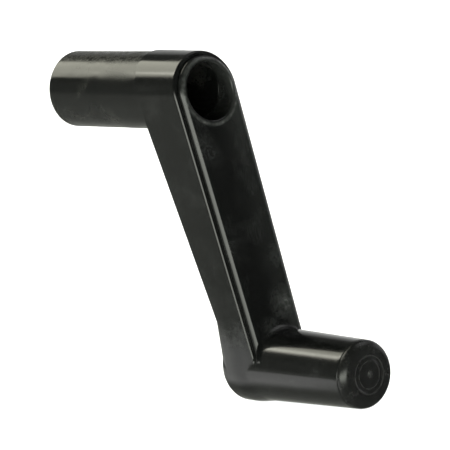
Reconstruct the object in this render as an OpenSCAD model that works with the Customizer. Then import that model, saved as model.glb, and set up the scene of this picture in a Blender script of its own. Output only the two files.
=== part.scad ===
// Crank handle for a small boat winch.
//
// Frame: the hub axis is Y and Z is up. The origin is the mouth of the drive
// bore, at the rear end of the hub tube; +Y points out of that mouth towards
// the winch. The arm hangs down (-Z) and the grip points forward (-Y).
// All lengths are in millimetres.
//
// The moulded arm carries the boss at the top and runs into a hollow grip at
// the bottom. A cover closes the front of the arm. The hub tube is a separate
// moulding whose spigot passes through the boss; a key stops it turning and a
// ring holds it in. A steel bush in the tube takes the winch shaft and a clamp
// screw with a soft pad grips the shaft.

/* [Handle] */
// Distance from the hub axis to the grip axis
throw = 90; // [60:1:160]
// Length from the rear end of the hub tube to the arm's front ledge
hub_len = 66; // [50:0.5:90]
// Outside diameter of the hub tube
tube_d = 25.4; // [22:0.1:30]
// Radius of the boss at the top of the arm
boss_r = 13.1; // [13:0.05:16]
// Radius of the arm's outline at its lower end
foot_r = 12.3; // [11:0.05:15]

/* [Arm] */
// How far the front ledge leans back for each millimetre of height
front_lean = 0.18; // [0:0.005:0.3]
// How far the rear face leans for each millimetre of height
rear_lean = 0.291; // [0:0.001:0.4]
// Depth of the boss on the hub axis, from the front ledge to the rear face
boss_depth = 19.56; // [15:0.01:26]
// Distance of the upright heel face behind the front ledge at the hub axis
heel_y = 0.7; // [-2:0.05:4]
// Thickness of the arm's side and rear walls
wall = 2.6; // [1.8:0.1:3.4]
// Width of the rim left around the front cover
rim = 1.38; // [1:0.02:2]

/* [Grip] */
// Radius of the heel at its rear edge
heel_r = 12.9; // [11:0.05:14]
// Radius of the grip just in front of the arm
grip_root_r = 11.9; // [10:0.05:14]
// Radius of the grip at the joint with the end cap
grip_end_r = 10.94; // [9:0.02:13]
// Length of the grip, from the arm's front ledge to the face of the cap
grip_len = 39.8; // [30:0.1:80]
// Thickness of the head of the end cap
cap_head = 3.2; // [2.4:0.1:4]
// Radius of the hollow inside the grip
grip_bore_r = 7.8; // [6:0.1:8.4]
// Rounding of the rear edge of the heel
heel_round = 2.9; // [1:0.1:3.4]
// Rounding of the edge of the end cap
cap_round = 3.0; // [1:0.1:3.1]

/* [Front cover] */
// Height of the cover above the front ledge
cover_rise = 2.05; // [1:0.05:3]
// Depth of the cover below the front ledge
cover_sink = 2.0; // [1.6:0.1:3]
// Radius of the hub opening in the cover
opening_r = 9.33; // [8:0.01:10]
// Gap between the cover and the rim
cover_gap = 0.12; // [0.05:0.01:0.3]

/* [Hub] */
// Diameter of the winch shaft the handle fits
shaft_d = 12.7; // [8:0.1:16]
// Radius of the spigot that passes through the boss
spigot_r = 10.9; // [10:0.05:11.2]
// Radius of the well in the front of the hub tube
well_r = 8.9; // [7:0.05:9.2]
// Depth of the pocket for the drive bush
bush_len = 24; // [16:1:32]
// Thickness of the web between the well and the pocket
web = 4; // [3:0.5:6]
// Radius of the hole through the web
web_hole_r = 3.3; // [2.5:0.1:4.5]

/* [Hidden] */
fine = 96;          // segments of every round surface
over = 1;           // overlap that keeps cuts clear of coincident faces
reach = 200;        // size of the blocks that trim a leaning face
lean_a = atan(front_lean);
rear_a = atan(rear_lean);
tube_r = tube_d / 2;
bush_r = 10;        // outside of the drive bush
shaft_r = shaft_d / 2;
bore_gap = 0.05;    // radial clearance of the parts that slide together
grip_y = -throw * front_lean;       // front ledge on the grip axis
root_y = grip_y - 4;                // where the heel's taper meets the grip's
cap_y = grip_y - grip_len;          // outer face of the end cap
cap_joint_y = cap_y + cap_head;     // joint between the grip and its cap
spigot_y = 4.3;     // front end of the spigot
ring_y = 6.5;       // shoulder the retaining ring bears on
ring_t = 1.2;       // thickness of the retaining ring
ring_r = 11.5;      // outside of the retaining ring
groove_r = 10.35;   // floor of the ring groove
web_y = hub_len - bush_len - web;   // front face of the web
washer_t = 1.6;     // thickness of the thrust washer
washer_r = 8;       // outside of the thrust washer
key_w = 2.5;        // width of the hub key
key_in = 9.9;       // lower face of the key, from the hub axis
key_out = 12.4;     // upper face of the key, from the hub axis
key_y0 = 8;         // front end of the key
key_y1 = 15;        // rear end of the key
post_r = 3.2;       // cover posts that take the screws
post_z = [-24, -53];                // heights of the two posts
rib_z = [-34, -43];                 // heights of the two cross ribs
pilot_r = 1.2;      // hole in a post for the screw
screw_r = 1.15;     // shank of a cover screw
screw_free_r = 1.6; // clearance hole for a cover screw
head_r = 2.8;       // head of a cover screw
head_t = 1.7;       // thickness of a screw head
sink_r = 3.1;       // counterbore for a screw head
floor_t = 2.2;      // plastic left under a screw head
clamp_y = hub_len - 12;             // clamp screw, from the front ledge
clamp_r = 3.0;      // thread of the clamp screw
clamp_top = 12.3;   // outer end of the clamp screw, from the hub axis
pad_r = 2.4;        // soft pad under the clamp screw
pad_in = shaft_r + 0.1;             // inner face of the pad
pad_t = 1.4;        // thickness of the pad
hex_af = 3.0;       // socket of the clamp screw, across flats
hex_deep = 2.2;     // depth of that socket

// Height of the arm's rear face above the front ledge plane, at height z.
function rear_y(z) = max(boss_depth + rear_lean * z, heel_y);
// Front face of the arm's rear wall at height z.
function floor_y(z) = boss_depth - wall + rear_lean * z;

// A round bar along Y from y0 to y1.
module bar(y0, y1, r0, r1) {
    translate([0, y0, 0]) rotate([-90, 0, 0])
        cylinder(h = y1 - y0, r1 = r0, r2 = r1, $fn = fine);
}

// A flat outline in X and Z drawn out along Y from y0 to y1.
module slab(y0, y1) {
    translate([0, y1, 0]) rotate([90, 0, 0])
        linear_extrude(height = y1 - y0) children();
}

// The outline of the arm: two circles joined by their outer tangents. A strip
// that tapers along the tangents is trimmed to the circle at each end.
module outline(inset) {
    ra = boss_r - inset;
    rb = foot_r - inset;
    s = (ra - rb) / throw;
    c = sqrt(1 - s * s);
    top = [ra * c + 2 * ra * s, -ra * s + 2 * ra * c];
    low = [rb * c - 2 * rb * s, -throw - rb * s - 2 * rb * c];
    difference() {
        polygon([top, low, [-low[0], low[1]], [-top[0], top[1]]]);
        difference() {
            translate([-reach / 2, -ra * s]) square([reach, reach]);
            circle(r = ra, $fn = fine);
        }
        difference() {
            translate([-reach / 2, -throw - rb * s - reach]) square([reach, reach]);
            translate([0, -throw]) circle(r = rb, $fn = fine);
        }
    }
}

// Everything in front of the ledge plane moved back by d.
module ahead_of(d) {
    translate([0, d, 0]) rotate([-lean_a, 0, 0])
        translate([-reach / 2, -reach, -reach / 2]) cube([reach, reach, reach]);
}

// Everything behind the leaning rear plane moved forward by d.
module behind_rear(d) {
    translate([0, boss_depth - d, 0]) rotate([-rear_a, 0, 0])
        translate([-reach / 2, 0, -reach / 2]) cube([reach, reach, reach]);
}

// The circle of the grip axis, in X and Z.
module foot_circle(r) {
    translate([0, -throw]) circle(r = r, $fn = fine);
}

// Places children at the hub end of the arm.
module at_hub() { translate([0, -hub_len, 0]) children(); }

// Outside of the heel and grip: one drafted, turned form.
module grip_form() {
    r_in = heel_r - heel_round;
    translate([0, 0, -throw]) rotate([90, 0, 0]) rotate_extrude($fn = fine)
        union() {
            polygon([[0, -heel_y], [r_in, -heel_y], [r_in, -heel_y + heel_round],
                     [heel_r, -heel_y + heel_round], [grip_root_r, -root_y],
                     [grip_end_r, -cap_joint_y], [0, -cap_joint_y]]);
            difference() {
                translate([r_in, -heel_y + heel_round]) circle(r = heel_round, $fn = fine);
                translate([-reach, -heel_y + heel_round]) square([2 * reach, reach]);
                translate([-reach, -reach]) square([reach + r_in, 2 * reach]);
            }
        }
}

// Corner removed from one upright rear edge of the arm, above the heel.
module heel_corner() {
    s = (boss_r - foot_r) / throw;
    kink = throw + (heel_y - boss_depth) / rear_lean;   // length of that edge
    translate([(boss_r - heel_round) / sqrt(1 - s * s), heel_y - heel_round, 0])
        rotate([0, asin(s), 0]) translate([0, 0, -throw - over]) difference() {
            cube([2 * heel_round, 2 * heel_round, kink + over]);
            translate([0, 0, -over]) cylinder(h = kink + 3 * over, r = heel_round, $fn = fine);
        }
}

// Arm moulding: boss, channel, heel and hollow grip in one piece.
module arm_body() {
    color([0.09, 0.09, 0.095]) at_hub() difference() {
        union() {
            difference() {
                union() {
                    difference() {
                        slab(-throw * 0.3, boss_depth + 8) outline(0);
                        difference() {
                            behind_rear(0);
                            translate([-reach / 2, heel_y - reach, -reach]) cube([reach, reach, reach]);
                        }
                        // below the grip axis only the rounded heel is left
                        translate([-reach / 2, -reach / 2, -throw - reach]) cube([reach, reach, reach]);
                        for (side = [0, 1]) mirror([side, 0, 0]) heel_corner();
                    }
                }
                ahead_of(0);
                // recess for the cover
                difference() {
                    slab(-reach / 4, reach / 4) outline(rim);
                    translate([0, cover_sink, 0]) rotate([-lean_a, 0, 0])
                        translate([-reach / 2, 0, -reach / 2]) cube([reach, reach, reach]);
                }
                // hollow channel between the boss and the heel
                difference() {
                    slab(-reach / 4, reach / 4) difference() {
                        outline(wall);
                        circle(r = boss_r + 1.6, $fn = fine);
                        foot_circle(grip_root_r + 1.7);
                    }
                    behind_rear(wall);
                    for (z = post_z)
                        translate([0, 0, z]) bar(floor_y(z) - floor_t, boss_depth, sink_r + 1.4, sink_r + 1.4);
                }
                // seat and bore for the spigot
                bar(-over, ring_y, boss_r - rim, boss_r - rim);
                bar(ring_y - over, boss_depth + 8, spigot_r + bore_gap, spigot_r + bore_gap);
                // keyway, open to the rear
                translate([-key_w / 2 - 0.02, key_y0, -key_out - bore_gap])
                    cube([key_w + 0.04, boss_depth, key_out]);
            }
            grip_form();
            // cross ribs of the channel
            for (z = rib_z)
                difference() {
                    translate([-foot_r + 1.5, -reach / 8, z - 0.8]) cube([2 * foot_r - 3, boss_depth + reach / 8 - 3, 1.6]);
                    ahead_of(cover_sink + 0.3);
                    behind_rear(1);
                }
        }
        // hollow of the grip
        translate([0, 0, -throw]) bar(cap_joint_y - over, heel_y - 3.2, grip_bore_r, grip_bore_r);
        // screws of the cover: clearance hole and counterbore from the rear
        for (z = post_z) translate([0, 0, z]) {
            bar(-reach / 8, boss_depth + 8, screw_free_r, screw_free_r);
            bar(floor_y(z) + 0.1, boss_depth + 8, sink_r, sink_r);
        }
    }
}

// Raised cover that closes the front of the arm.
module front_cover() {
    color([0.11, 0.11, 0.115]) at_hub() difference() {
        union() {
            intersection() {
                slab(-reach / 8, reach / 8) outline(rim + cover_gap);
                difference() {
                    ahead_of(cover_sink - 0.05);
                    ahead_of(-cover_rise);
                }
            }
            // collar that reaches down to the end of the spigot
            difference() {
                bar(0, spigot_y - 0.1, opening_r + 1.4, opening_r + 1.4);
                ahead_of(0);
            }
            // posts for the screws
            for (z = post_z) translate([0, 0, z])
                difference() {
                    bar(front_lean * z, floor_y(z) - floor_t - 0.1, post_r, post_r);
                }
        }
        bar(-reach / 8, reach / 8, opening_r, opening_r);
        // hollowed to fit round the root of the grip
        translate([0, 0, -throw])
            bar(root_y, heel_y - heel_round, grip_root_r + cover_gap, heel_r + cover_gap);
        for (z = post_z) translate([0, 0, z])
            bar(front_lean * z + 0.6, reach / 8, pilot_r, pilot_r);
    }
}

// Hub tube with its spigot, front well, web and bush pocket.
module hub_sleeve() {
    color([0.13, 0.13, 0.135]) at_hub() difference() {
        union() {
            bar(spigot_y, hub_len, spigot_r, spigot_r);
            intersection() {
                bar(boss_depth / 2, hub_len, tube_r, tube_r);
                behind_rear(0);
            }
        }
        bar(0, web_y - washer_t, well_r, well_r);
        bar(0, web_y, washer_r + 0.1, washer_r + 0.1);
        bar(web_y - over, hub_len, web_hole_r, web_hole_r);
        bar(hub_len - bush_len, hub_len + over, bush_r, bush_r);
        // groove for the retaining ring
        difference() {
            bar(ring_y - ring_t - bore_gap, ring_y + bore_gap, tube_r, tube_r);
            bar(0, hub_len, groove_r - bore_gap, groove_r - bore_gap);
        }
        // pocket for the key
        translate([-key_w / 2, key_y0, -key_out]) cube([key_w, key_y1 - key_y0, key_out - key_in]);
        // hole for the clamp screw
        translate([0, clamp_y, 0]) mirror([0, 0, 1]) cylinder(h = tube_r + over, r = clamp_r + 0.3, $fn = fine);
    }
}

// Ring that keeps the spigot in the boss.
module retaining_ring() {
    color([0.62, 0.63, 0.65]) at_hub() difference() {
        bar(ring_y - ring_t, ring_y, ring_r, ring_r);
        bar(0, hub_len, groove_r, groove_r);
        // gap that lets the ring open
        translate([-2, 0, 0]) cube([4, hub_len, reach]);
    }
}

// Key between the spigot and the boss.
module hub_key() {
    color([0.55, 0.56, 0.58]) at_hub()
        translate([-key_w / 2, key_y0, -key_out]) cube([key_w, key_y1 - key_y0, key_out - key_in]);
}

// Steel bush that takes the winch shaft.
module drive_bush() {
    color([0.66, 0.67, 0.69]) at_hub() difference() {
        bar(hub_len - bush_len, hub_len, bush_r, bush_r);
        bar(0, hub_len + over, shaft_r, shaft_r);
        translate([0, clamp_y, 0]) mirror([0, 0, 1]) cylinder(h = tube_r, r = clamp_r + bore_gap, $fn = fine);
    }
}

// Washer that spreads the load of the shaft screw on the web.
module thrust_washer() {
    color([0.7, 0.71, 0.73]) at_hub() difference() {
        bar(web_y - washer_t, web_y, washer_r, washer_r);
        bar(0, hub_len, web_hole_r, web_hole_r);
    }
}

// Soft pad between the clamp screw and the winch shaft.
module clamp_pad() {
    color([0.78, 0.62, 0.28]) at_hub()
        translate([0, clamp_y, -pad_in - pad_t]) cylinder(h = pad_t, r = pad_r, $fn = fine);
}

// Clamp screw with a hexagon socket in its outer end.
module clamp_screw() {
    color([0.3, 0.31, 0.33]) at_hub() translate([0, clamp_y, -clamp_top]) difference() {
        cylinder(h = clamp_top - pad_in - pad_t, r = clamp_r, $fn = fine);
        translate([0, 0, -over]) linear_extrude(height = hex_deep + over)
            polygon([for (k = [0 : 5]) hex_af / sqrt(3) * [cos(60 * k), sin(60 * k)]]);
    }
}

// Self-tapping screw of the cover at height z.
module cover_screw(z) {
    color([0.68, 0.69, 0.71]) at_hub() translate([0, 0, z]) difference() {
        union() {
            bar(floor_y(z) - floor_t - 7, floor_y(z) + 0.1 + over / 2, screw_r, screw_r);
            bar(floor_y(z) + 0.1, floor_y(z) + 0.1 + head_t, head_r, head_r);
        }
        // cross recess
        for (a = [0, 90])
            rotate([0, a, 0]) translate([-1.5, floor_y(z) + head_t - 0.8, -0.3]) cube([3, 2, 0.6]);
    }
}
module cover_screw_upper() { cover_screw(post_z[0]); }
module cover_screw_lower() { cover_screw(post_z[1]); }

// End cap pressed into the grip.
module grip_cap() {
    r_in = grip_end_r - cap_round;
    color([0.07, 0.07, 0.075]) at_hub() translate([0, 0, -throw]) difference() {
        union() {
            rotate([90, 0, 0]) rotate_extrude($fn = fine) union() {
                polygon([[0, -cap_joint_y], [grip_end_r, -cap_joint_y], [grip_end_r, -cap_y - cap_round],
                         [r_in, -cap_y - cap_round], [r_in, -cap_y], [0, -cap_y]]);
                difference() {
                    translate([r_in, -cap_y - cap_round]) circle(r = cap_round, $fn = fine);
                    translate([-reach, -cap_y - cap_round - reach]) square([2 * reach, reach]);
                    translate([-reach, -reach]) square([reach + r_in, 2 * reach]);
                }
            }
            // plug, split into a hollow sleeve
            difference() {
                bar(cap_joint_y - over, cap_joint_y + 9, grip_bore_r, grip_bore_r);
                bar(cap_joint_y, cap_joint_y + 9 + over, grip_bore_r - 1.8, grip_bore_r - 1.8);
            }
        }
        // shallow ring in the face
        difference() {
            bar(cap_y - over, cap_y + 0.3, 4.9, 4.9);
            bar(cap_y - 2 * over, cap_y + over, 4.3, 4.3);
        }
    }
}

arm_body();
front_cover();
hub_sleeve();
retaining_ring();
hub_key();
drive_bush();
thrust_washer();
clamp_pad();
clamp_screw();
cover_screw_upper();
cover_screw_lower();
grip_cap();
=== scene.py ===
"""Looks of a small winch handle: arm, cover, hub tube, grip cap and their hardware.

Sizes are in millimetres on the bench frame, whose origin is on the hub axis at
the front of the boss: X across the arm, Y back along the hub axis, Z up. The last
step of every piece, `Bench.seat`, turns that into metres in the model's frame,
whose origin is at the rear end of the hub tube.
"""

import logging
from dataclasses import dataclass
from enum import Enum
from math import cos, pi, radians, sin
from typing import Any, Optional, Sequence

import bmesh
import bpy
import numpy as np
from mathutils import Matrix, Vector
from numpy.typing import NDArray


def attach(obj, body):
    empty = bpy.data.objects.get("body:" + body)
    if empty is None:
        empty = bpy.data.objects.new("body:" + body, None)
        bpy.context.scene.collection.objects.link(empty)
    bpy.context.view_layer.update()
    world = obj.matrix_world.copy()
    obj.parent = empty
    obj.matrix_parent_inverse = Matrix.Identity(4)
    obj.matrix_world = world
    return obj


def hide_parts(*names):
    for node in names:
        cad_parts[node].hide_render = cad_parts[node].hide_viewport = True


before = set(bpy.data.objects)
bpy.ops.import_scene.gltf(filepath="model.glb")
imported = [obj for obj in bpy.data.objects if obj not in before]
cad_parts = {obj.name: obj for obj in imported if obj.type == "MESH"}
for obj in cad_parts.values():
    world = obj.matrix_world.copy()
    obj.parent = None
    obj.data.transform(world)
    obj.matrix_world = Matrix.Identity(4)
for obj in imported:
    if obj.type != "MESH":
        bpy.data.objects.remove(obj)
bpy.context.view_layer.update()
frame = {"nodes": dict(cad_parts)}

Array = NDArray[np.float64]
Colour = tuple[float, float, float]

log = logging.getLogger("winch_handle")

MM = 0.001
HUB_LENGTH = 66.0
THROW = 90.0
FRONT_LEAN = 0.18
REAR_LEAN = 0.291
BOSS_DEPTH = 19.56
HEEL_FACE = 0.7
REAR_EDGE = 0.38
HEEL_EDGE = 4.2
HEEL_RADIUS = 12.9
GRIP_START = -2.2
GRIP_DRAFT = 0.0275
GRIP_FLARE = 0.56
FLARE_REACH = 7.0
SEAM_ROUND = 0.22
WELL_INSIDE = 9.0


class Body(Enum):
    """Rigid groups of the mechanism that pieces ride on."""

    HANDLE = "handle"
    PAD = "pad"
    SCREW = "screw"


class Cut(Enum):
    """What a boolean step does to the piece."""

    JOIN = "UNION"
    REMOVE = "DIFFERENCE"


class Axis(Enum):
    """Axis that a turned form is turned about."""

    HUB = "y"
    SCREW = "z"


def smooth_max(a: Array, b: Array | float, blend: float) -> Array:
    """The larger of a and b, with a rounded change-over.

    Formula: half of (a + b + root of ((a - b) squared + 4 blend squared)).

    Args:
        a: First value, an array.
        b: Second value.
        blend: Half the gap between the curve and the corner it rounds.

    Returns:
        The rounded maximum.
    """
    return 0.5 * (a + b + np.sqrt((a - b) ** 2 + 4.0 * blend**2))


def front_plane(z: Array) -> Array:
    """Y of the arm's leaning front ledge at height z."""
    return FRONT_LEAN * z


def edge_drop(inset: Array | float, radius: float) -> Array:
    """How far a quarter-round edge has fallen away, inset from its wall.

    Formula: radius less the root of (radius squared - (radius - inset) squared), and
    nothing past the radius.

    Args:
        inset: Distance in from the wall.
        radius: Radius of the quarter round.

    Returns:
        The drop at each inset.
    """
    return radius - np.sqrt(radius**2 - np.maximum(0.0, radius - inset) ** 2)


def rear_surface(z: Array, inset: Array | float = WELL_INSIDE) -> Array:
    """Y of the arm's rear face: a leaning plane that runs out into the heel's upright flat.

    Formula: the rounded maximum of the leaning plane, with a crisp edge, and the heel's
    flat, with a full round edge.

    Args:
        z: Height.
        inset: Distance in from the wall.

    Returns:
        Y at each height and inset.
    """
    lean = BOSS_DEPTH + REAR_LEAN * z - edge_drop(inset, REAR_EDGE)
    return smooth_max(lean, HEEL_FACE - 0.003 - edge_drop(inset, HEEL_EDGE), 0.12)


def grip_radius(y: Array) -> Array:
    """Outside radius of the heel and grip at y.

    Formula: a straight draft of 0.0275 per mm from 12.9 at the heel, less a flare of
    0.56 that falls away as a bell curve 7 mm wide.

    Args:
        y: Place along the grip axis.

    Returns:
        The radius at each y.
    """
    s = np.maximum(0.0, GRIP_START - y)
    return HEEL_RADIUS - GRIP_DRAFT * s - GRIP_FLARE * (1.0 - np.exp(-((s / FLARE_REACH) ** 2)))


def arc(start: float, end: float, steps: int) -> Array:
    """Angles in radians from start to end degrees, ends included."""
    return np.radians(np.linspace(start, end, steps + 1))


def rounded(corners: Sequence[tuple[float, float, float]], steps: int = 8) -> Array:
    """A flat polyline with its corners rounded.

    Formula: at each corner the arc touches both sides at radius times the cotangent
    of half the corner's angle from the corner; its points are turned evenly about
    the centre, which lies on the bisector.

    Args:
        corners: Points as (u, v, radius), with radius 0 where the corner stays sharp.
        steps: Segments of each arc.

    Returns:
        The polyline's points, one row each.
    """
    pts = np.array([c[:2] for c in corners], dtype=float)
    out = [pts[:1]]
    for k in range(1, len(pts) - 1):
        radius = corners[k][2]
        a, b = pts[k - 1] - pts[k], pts[k + 1] - pts[k]
        a, b = a / np.linalg.norm(a), b / np.linalg.norm(b)
        half = 0.5 * np.arccos(np.clip(a @ b, -1.0, 1.0))
        if radius == 0.0:
            out.append(pts[k : k + 1])
            continue
        centre = pts[k] + (a + b) / np.linalg.norm(a + b) * radius / sin(half)
        touch = pts[k] + a * radius / np.tan(half) - centre
        cross = a[0] * b[1] - a[1] * b[0]
        turn = -np.sign(cross) * (pi - 2.0 * half) * np.linspace(0.0, 1.0, steps + 1)
        c, s = np.cos(turn), np.sin(turn)
        out.append(centre + np.stack([c * touch[0] - s * touch[1], s * touch[0] + c * touch[1]], axis=1))
    out.append(pts[-1:])
    return np.concatenate(out)


@dataclass
class Bench:
    """Makes closed shells from grids of points, joins and cuts them, and seats them in the model."""

    merge_distance: float = 2e-5
    sharp_degrees: float = 32.0

    def shell(self, name: str, grid: Array, ring: bool = False) -> bpy.types.Object:
        """A closed shell from a grid whose rows are closed rings of points.

        Each point is joined to its neighbours in the next row and the next column. Rows
        that have shrunk to one point become poles.

        Args:
            name: Name of the object and its mesh.
            grid: Points, as rows by columns by 3.
            ring: True if the last row joins the first, as on a form with a hole.

        Returns:
            The object, with faces outwards, in bench millimetres.
        """
        rows, columns = grid.shape[:2]
        index = np.arange(rows * columns).reshape(rows, columns)
        low = index if ring else index[:-1]
        high = np.roll(index, -1, axis=0) if ring else index[1:]
        quads = np.stack([low, np.roll(low, -1, axis=1), np.roll(high, -1, axis=1), high], axis=-1)
        mesh = bpy.data.meshes.new(name)
        mesh.from_pydata(grid.reshape(-1, 3).tolist(), [], quads.reshape(-1, 4).tolist())
        work = bmesh.new()
        work.from_mesh(mesh)
        bmesh.ops.remove_doubles(work, verts=work.verts, dist=self.merge_distance)
        if work.calc_volume(signed=True) < 0.0:
            bmesh.ops.reverse_faces(work, faces=work.faces)
        work.to_mesh(mesh)
        work.free()
        piece = bpy.data.objects.new(name, mesh)
        bpy.context.scene.collection.objects.link(piece)
        return piece

    def turned(
        self,
        name: str,
        profile: Array,
        centre: tuple[float, float] = (0.0, 0.0),
        segments: int = 144,
        ring: bool = False,
        axis: Axis = Axis.HUB,
        tilt: Optional[Array] = None,
    ) -> bpy.types.Object:
        """A turned form: a profile carried once round an axis.

        Formula: a point at (along, radius) goes to radius times the cosine and sine of
        the angle across the axis, and to along plus tilt times the sine part along it.

        Args:
            name: Name of the piece.
            profile: Points as (along, radius).
            centre: Where the axis stands, in the two directions across it.
            segments: Points round the axis.
            ring: True if the profile is closed.
            axis: Direction of the axis.
            tilt: Slope in Z of each profile point, for a shoulder that leans.

        Returns:
            The turned piece.
        """
        theta = np.linspace(0.0, 2.0 * pi, segments, endpoint=False)
        across = profile[:, 1:2] * np.cos(theta)
        up = profile[:, 1:2] * np.sin(theta)
        along = profile[:, 0:1] + (0.0 if tilt is None else tilt[:, None] * up)
        along = np.broadcast_to(along, across.shape)
        parts = {
            Axis.HUB: (centre[0] + across, along, centre[1] + up),
            Axis.SCREW: (centre[0] + across, centre[1] + up, along),
        }
        return self.shell(name, np.stack(parts[axis], axis=-1), ring)

    def combine(self, piece: bpy.types.Object, tool: bpy.types.Object, cut: Cut) -> None:
        """Joins the tool to the piece or cuts it away, exactly, and removes the tool."""
        step = piece.modifiers.new("cut", "BOOLEAN")
        step.operation, step.solver, step.object = cut.value, "EXACT", tool
        evaluated = piece.evaluated_get(bpy.context.evaluated_depsgraph_get())
        mesh = bpy.data.meshes.new_from_object(evaluated)
        piece.modifiers.clear()
        old, piece.data = piece.data, mesh
        mesh.name = piece.name
        bpy.data.meshes.remove(old)
        bpy.data.meshes.remove(tool.data)

    def seat(self, piece: bpy.types.Object, body: Body, slot: str, *nodes: str) -> None:
        """Moves a finished piece into the model's frame and hands it to its body.

        Args:
            piece: The piece, in bench millimetres.
            body: Rigid group that it moves with.
            slot: Not used.
            nodes: CAD nodes that it stands for.
        """
        mesh = piece.data
        work = bmesh.new()
        work.from_mesh(mesh)
        bmesh.ops.remove_doubles(work, verts=work.verts, dist=self.merge_distance)
        bmesh.ops.dissolve_degenerate(work, edges=work.edges, dist=self.merge_distance)
        open_edges = sum(1 for e in work.edges if not e.is_manifold)
        work.to_mesh(mesh)
        work.free()
        mesh.transform(Matrix.Diagonal((MM, MM, MM, 1.0)) @ Matrix.Translation((0.0, -HUB_LENGTH, 0.0)))
        mesh.shade_smooth()
        mesh.set_sharp_from_angle(angle=radians(self.sharp_degrees))
        mesh.update()
        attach(piece, body.value)
        if nodes:
            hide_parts(*nodes)
        faces = len(mesh.polygons)
        log.info("%s: %d faces, %d open edges, rides on %s", piece.name, faces, open_edges, body.value)


BENCH = Bench()


# --------------------------------------------------------------------------- finishes


class NodeBench:
    """Lays out the nodes of one tree, a material's or a group's."""

    def __init__(self, tree: bpy.types.NodeTree) -> None:
        """Starts on an empty tree."""
        self.tree = tree
        tree.nodes.clear()

    def add(self, kind: str, settings: Optional[dict[str, Any]] = None, **inputs: Any) -> bpy.types.Node:
        """Adds a node.

        Args:
            kind: Node type name.
            settings: Properties of the node itself.
            inputs: Socket values or sockets to link from. Underscores stand for spaces, and
                i0, i1 and so on name a socket by its number.

        Returns:
            The new node.
        """
        node = self.tree.nodes.new(kind)
        for key, value in (settings or {}).items():
            setattr(node, key, value)
        for key, value in inputs.items():
            by_number = key[0] == "i" and key[1:].isdigit()
            socket = node.inputs[int(key[1:])] if by_number else node.inputs[key.replace("_", " ")]
            if isinstance(value, bpy.types.NodeSocket):
                self.tree.links.new(value, socket)
            else:
                socket.default_value = value
        return node

    def noise(
        self, vector: Any, scale: float, detail: float = 2.0, rough: float = 0.5, distort: float = 0.0
    ) -> Any:
        """Value of a noise pattern at the vector."""
        sizes = {"Scale": scale, "Detail": detail, "Roughness": rough, "Distortion": distort}
        return self.add("ShaderNodeTexNoise", None, Vector=vector, **sizes).outputs["Fac"]

    def maths(self, operation: str, *values: Any, clamp: bool = False) -> Any:
        """Result of a maths node on one to three values."""
        inputs = {f"i{k}": v for k, v in enumerate(values)}
        return self.add("ShaderNodeMath", {"operation": operation, "use_clamp": clamp}, **inputs).outputs[0]

    def vector(self, operation: str, *values: Any, out: str = "Vector") -> Any:
        """Result of a vector maths node."""
        inputs = {f"i{k}": v for k, v in enumerate(values)}
        return self.add("ShaderNodeVectorMath", {"operation": operation}, **inputs).outputs[out]

    def step(self, value: Any, low: float, high: float, out_low: float = 0.0, out_high: float = 1.0) -> Any:
        """Value carried smoothly from the range low..high to out_low..out_high."""
        return self.add(
            "ShaderNodeMapRange",
            {"interpolation_type": "SMOOTHSTEP"},
            Value=value,
            From_Min=low,
            From_Max=high,
            To_Min=out_low,
            To_Max=out_high,
        ).outputs[0]

    def mix(self, factor: Any, a: Any, b: Any) -> Any:
        """Colour between a and b."""
        node = self.tree.nodes.new("ShaderNodeMix")
        node.data_type = "RGBA"
        for socket, value in ((node.inputs[0], factor), (node.inputs[6], a), (node.inputs[7], b)):
            if isinstance(value, bpy.types.NodeSocket):
                self.tree.links.new(value, socket)
            else:
                socket.default_value = value if isinstance(value, float) else (*value, 1.0)[:4]
        return node.outputs[2]


@dataclass(frozen=True)
class Port:
    """A named input or output of a shared effect."""

    name: str
    kind: str = "NodeSocketFloat"
    value: Any = None


def effect(name: str, inputs: Sequence[Port], outputs: Sequence[Port]) -> tuple[NodeBench, Any, Any]:
    """An empty shared effect with its ports.

    Args:
        name: Name of the node group.
        inputs: Its input ports, with their usual values.
        outputs: Its output ports.

    Returns:
        The bench to build it on, its input node and its output node.
    """
    tree = bpy.data.node_groups.new(name, "ShaderNodeTree")
    for port in inputs:
        socket = tree.interface.new_socket(name=port.name, in_out="INPUT", socket_type=port.kind)
        if port.value is not None:
            socket.default_value = port.value
    for port in outputs:
        tree.interface.new_socket(name=port.name, in_out="OUTPUT", socket_type=port.kind)
    bench = NodeBench(tree)
    return bench, tree.nodes.new("NodeGroupInput"), tree.nodes.new("NodeGroupOutput")


def moulded_skin() -> bpy.types.NodeTree:
    """Skin of a moulding: slow ripples left by the mould, orange peel and a fine grain.

    Returns:
        A group that puts out a Height in units of its inputs and a Flow mask.
    """
    bench, source, sink = effect(
        "moulded_skin",
        [
            Port("Stretch", "NodeSocketVector", (1.0, 1.0, 1.0)),
            Port("Ripple", value=1.0),
            Port("Peel", value=0.1),
            Port("Grain", value=0.02),
        ],
        [Port("Height"), Port("Flow")],
    )
    place = bench.add("ShaderNodeTexCoord").outputs["Object"]
    along = bench.vector("MULTIPLY", place, source.outputs["Stretch"])
    ripple = bench.noise(along, 120.0, 1.0, 0.4)
    peel = bench.noise(place, 1100.0, 1.0, 0.5)
    grain = bench.noise(place, 5200.0, 2.0, 0.6)
    total = bench.maths("MULTIPLY", ripple, source.outputs["Ripple"])
    total = bench.maths("MULTIPLY_ADD", peel, source.outputs["Peel"], total)
    total = bench.maths("MULTIPLY_ADD", grain, source.outputs["Grain"], total)
    bench.tree.links.new(total, sink.inputs["Height"])
    flow = bench.step(bench.noise(along, 60.0, 3.0, 0.6, 0.6), 0.42, 0.68)
    bench.tree.links.new(flow, sink.inputs["Flow"])
    return bench.tree


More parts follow.
